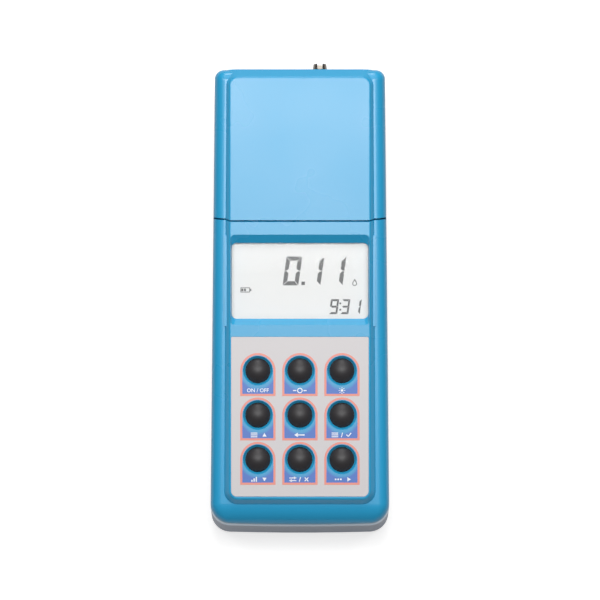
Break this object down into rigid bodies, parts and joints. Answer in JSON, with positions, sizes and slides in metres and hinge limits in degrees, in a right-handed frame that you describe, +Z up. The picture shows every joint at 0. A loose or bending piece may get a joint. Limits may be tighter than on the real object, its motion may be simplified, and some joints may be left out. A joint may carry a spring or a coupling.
{
  "type": "portable turbidity meter",
  "caption": "Wedge-shaped handheld turbidity meter with a hinged lid over a round sample well, a sunk display, a raised keypad of round sprung keys and a metal touch reader.",
  "frame": {"origin": "bottom centre of the bounding box, on the table under the middle of the meter lying on its back", "axes": "+Z up, +Y towards the lid end, +X to the right of a user who reads the display"},
  "size_m": [0.0864, 0.224, 0.077],
  "materials": {
    "blue_casing": "fine satin moulded ABS",
    "grey_casing": "fine satin moulded ABS",
    "black_plastic": "matt black moulding",
    "foam": "closed-cell foam",
    "rubber": "matt",
    "silicone": "matt silicone",
    "key_rubber": "satin black keys",
    "clear_window": "clear polished plate",
    "lcd": "pale display cell",
    "backlight": "light guide",
    "keypad_foil": "printed polyester foil",
    "optical_glass": "polished",
    "bulb_glass": "clear bulb",
    "circuit_board": "green solder mask",
    "chip_black": "moulded packages",
    "steel": "bright nickel or stainless",
    "white_insulator": "off-white",
    "brass_contact": "bright",
    "cell_jacket": "plain printed jacket, steel can"
  },
  "bodies": {
    "body": {"battery_cells": "cell_jacket", "battery_contacts": "steel", "battery_cover": "grey_casing", "beeper": "black_plastic", "board_chips": "chip_black", "board_screws": "steel", "case_screws": "steel", "clock_cell": "steel", "cover_screws": "steel", "cuvette_holder": "black_plastic", "data_socket": "steel", "deck_screws": "steel", "display_gasket": "foam", "display_window": "clear_window", "front_shell": "blue_casing", "key_domes": "steel", "key_mat": "silicone", "keypad_overlay": "keypad_foil", "lamp_board": "circuit_board", "lamp_bulb": "bulb_glass", "lamp_housing": "black_plastic", "lamp_lens": "optical_glass", "lcd_backlight": "backlight", "lcd_frame": "black_plastic", "lcd_glass": "lcd", "lid_hinge_pin": "steel", "main_board": "circuit_board", "measuring_deck": "black_plastic", "power_socket": "black_plastic", "reader_cup": "steel", "reader_insulator": "white_insulator", "reader_pin": "brass_contact", "rear_shell": "grey_casing", "rubber_feet": "rubber", "scatter_board": "circuit_board", "scatter_detector": "steel", "socket_board": "circuit_board", "socket_board_screws": "steel", "transmitted_board": "circuit_board", "transmitted_detector": "steel"},
    "lid": {"lid_shell": "blue_casing", "lid_seal": "foam"},
    "key_power": {"key_power": "key_rubber"},
    "key_cal": {"key_cal": "key_rubber"},
    "key_light": {"key_light": "key_rubber"},
    "key_up": {"key_up": "key_rubber"},
    "key_recall": {"key_recall": "key_rubber"},
    "key_log": {"key_log": "key_rubber"},
    "key_down": {"key_down": "key_rubber"},
    "key_setup": {"key_setup": "key_rubber"},
    "key_read": {"key_read": "key_rubber"}
  },
  "joints": [
    {"name": "lid_hinge", "type": "hinge", "parent": "body", "child": "lid", "pos_m": [0, 0.09988, 0.0592], "axis": [-1, 0, 0], "range_deg": [0, 95]},
    {"name": "key_power_press", "type": "slide", "parent": "body", "child": "key_power", "axis": [0, 0.1392, -0.9903], "range_m": [0, 0.001], "stiffness_N_per_m": 1800},
    {"name": "key_cal_press", "type": "slide", "parent": "body", "child": "key_cal", "axis": [0, 0.1392, -0.9903], "range_m": [0, 0.001], "stiffness_N_per_m": 1800},
    {"name": "key_light_press", "type": "slide", "parent": "body", "child": "key_light", "axis": [0, 0.1392, -0.9903], "range_m": [0, 0.001], "stiffness_N_per_m": 1800},
    {"name": "key_up_press", "type": "slide", "parent": "body", "child": "key_up", "axis": [0, 0.1392, -0.9903], "range_m": [0, 0.001], "stiffness_N_per_m": 1800},
    {"name": "key_recall_press", "type": "slide", "parent": "body", "child": "key_recall", "axis": [0, 0.1392, -0.9903], "range_m": [0, 0.001], "stiffness_N_per_m": 1800},
    {"name": "key_log_press", "type": "slide", "parent": "body", "child": "key_log", "axis": [0, 0.1392, -0.9903], "range_m": [0, 0.001], "stiffness_N_per_m": 1800},
    {"name": "key_down_press", "type": "slide", "parent": "body", "child": "key_down", "axis": [0, 0.1392, -0.9903], "range_m": [0, 0.001], "stiffness_N_per_m": 1800},
    {"name": "key_setup_press", "type": "slide", "parent": "body", "child": "key_setup", "axis": [0, 0.1392, -0.9903], "range_m": [0, 0.001], "stiffness_N_per_m": 1800},
    {"name": "key_read_press", "type": "slide", "parent": "body", "child": "key_read", "axis": [0, 0.1392, -0.9903], "range_m": [0, 0.001], "stiffness_N_per_m": 1800}
  ]
}
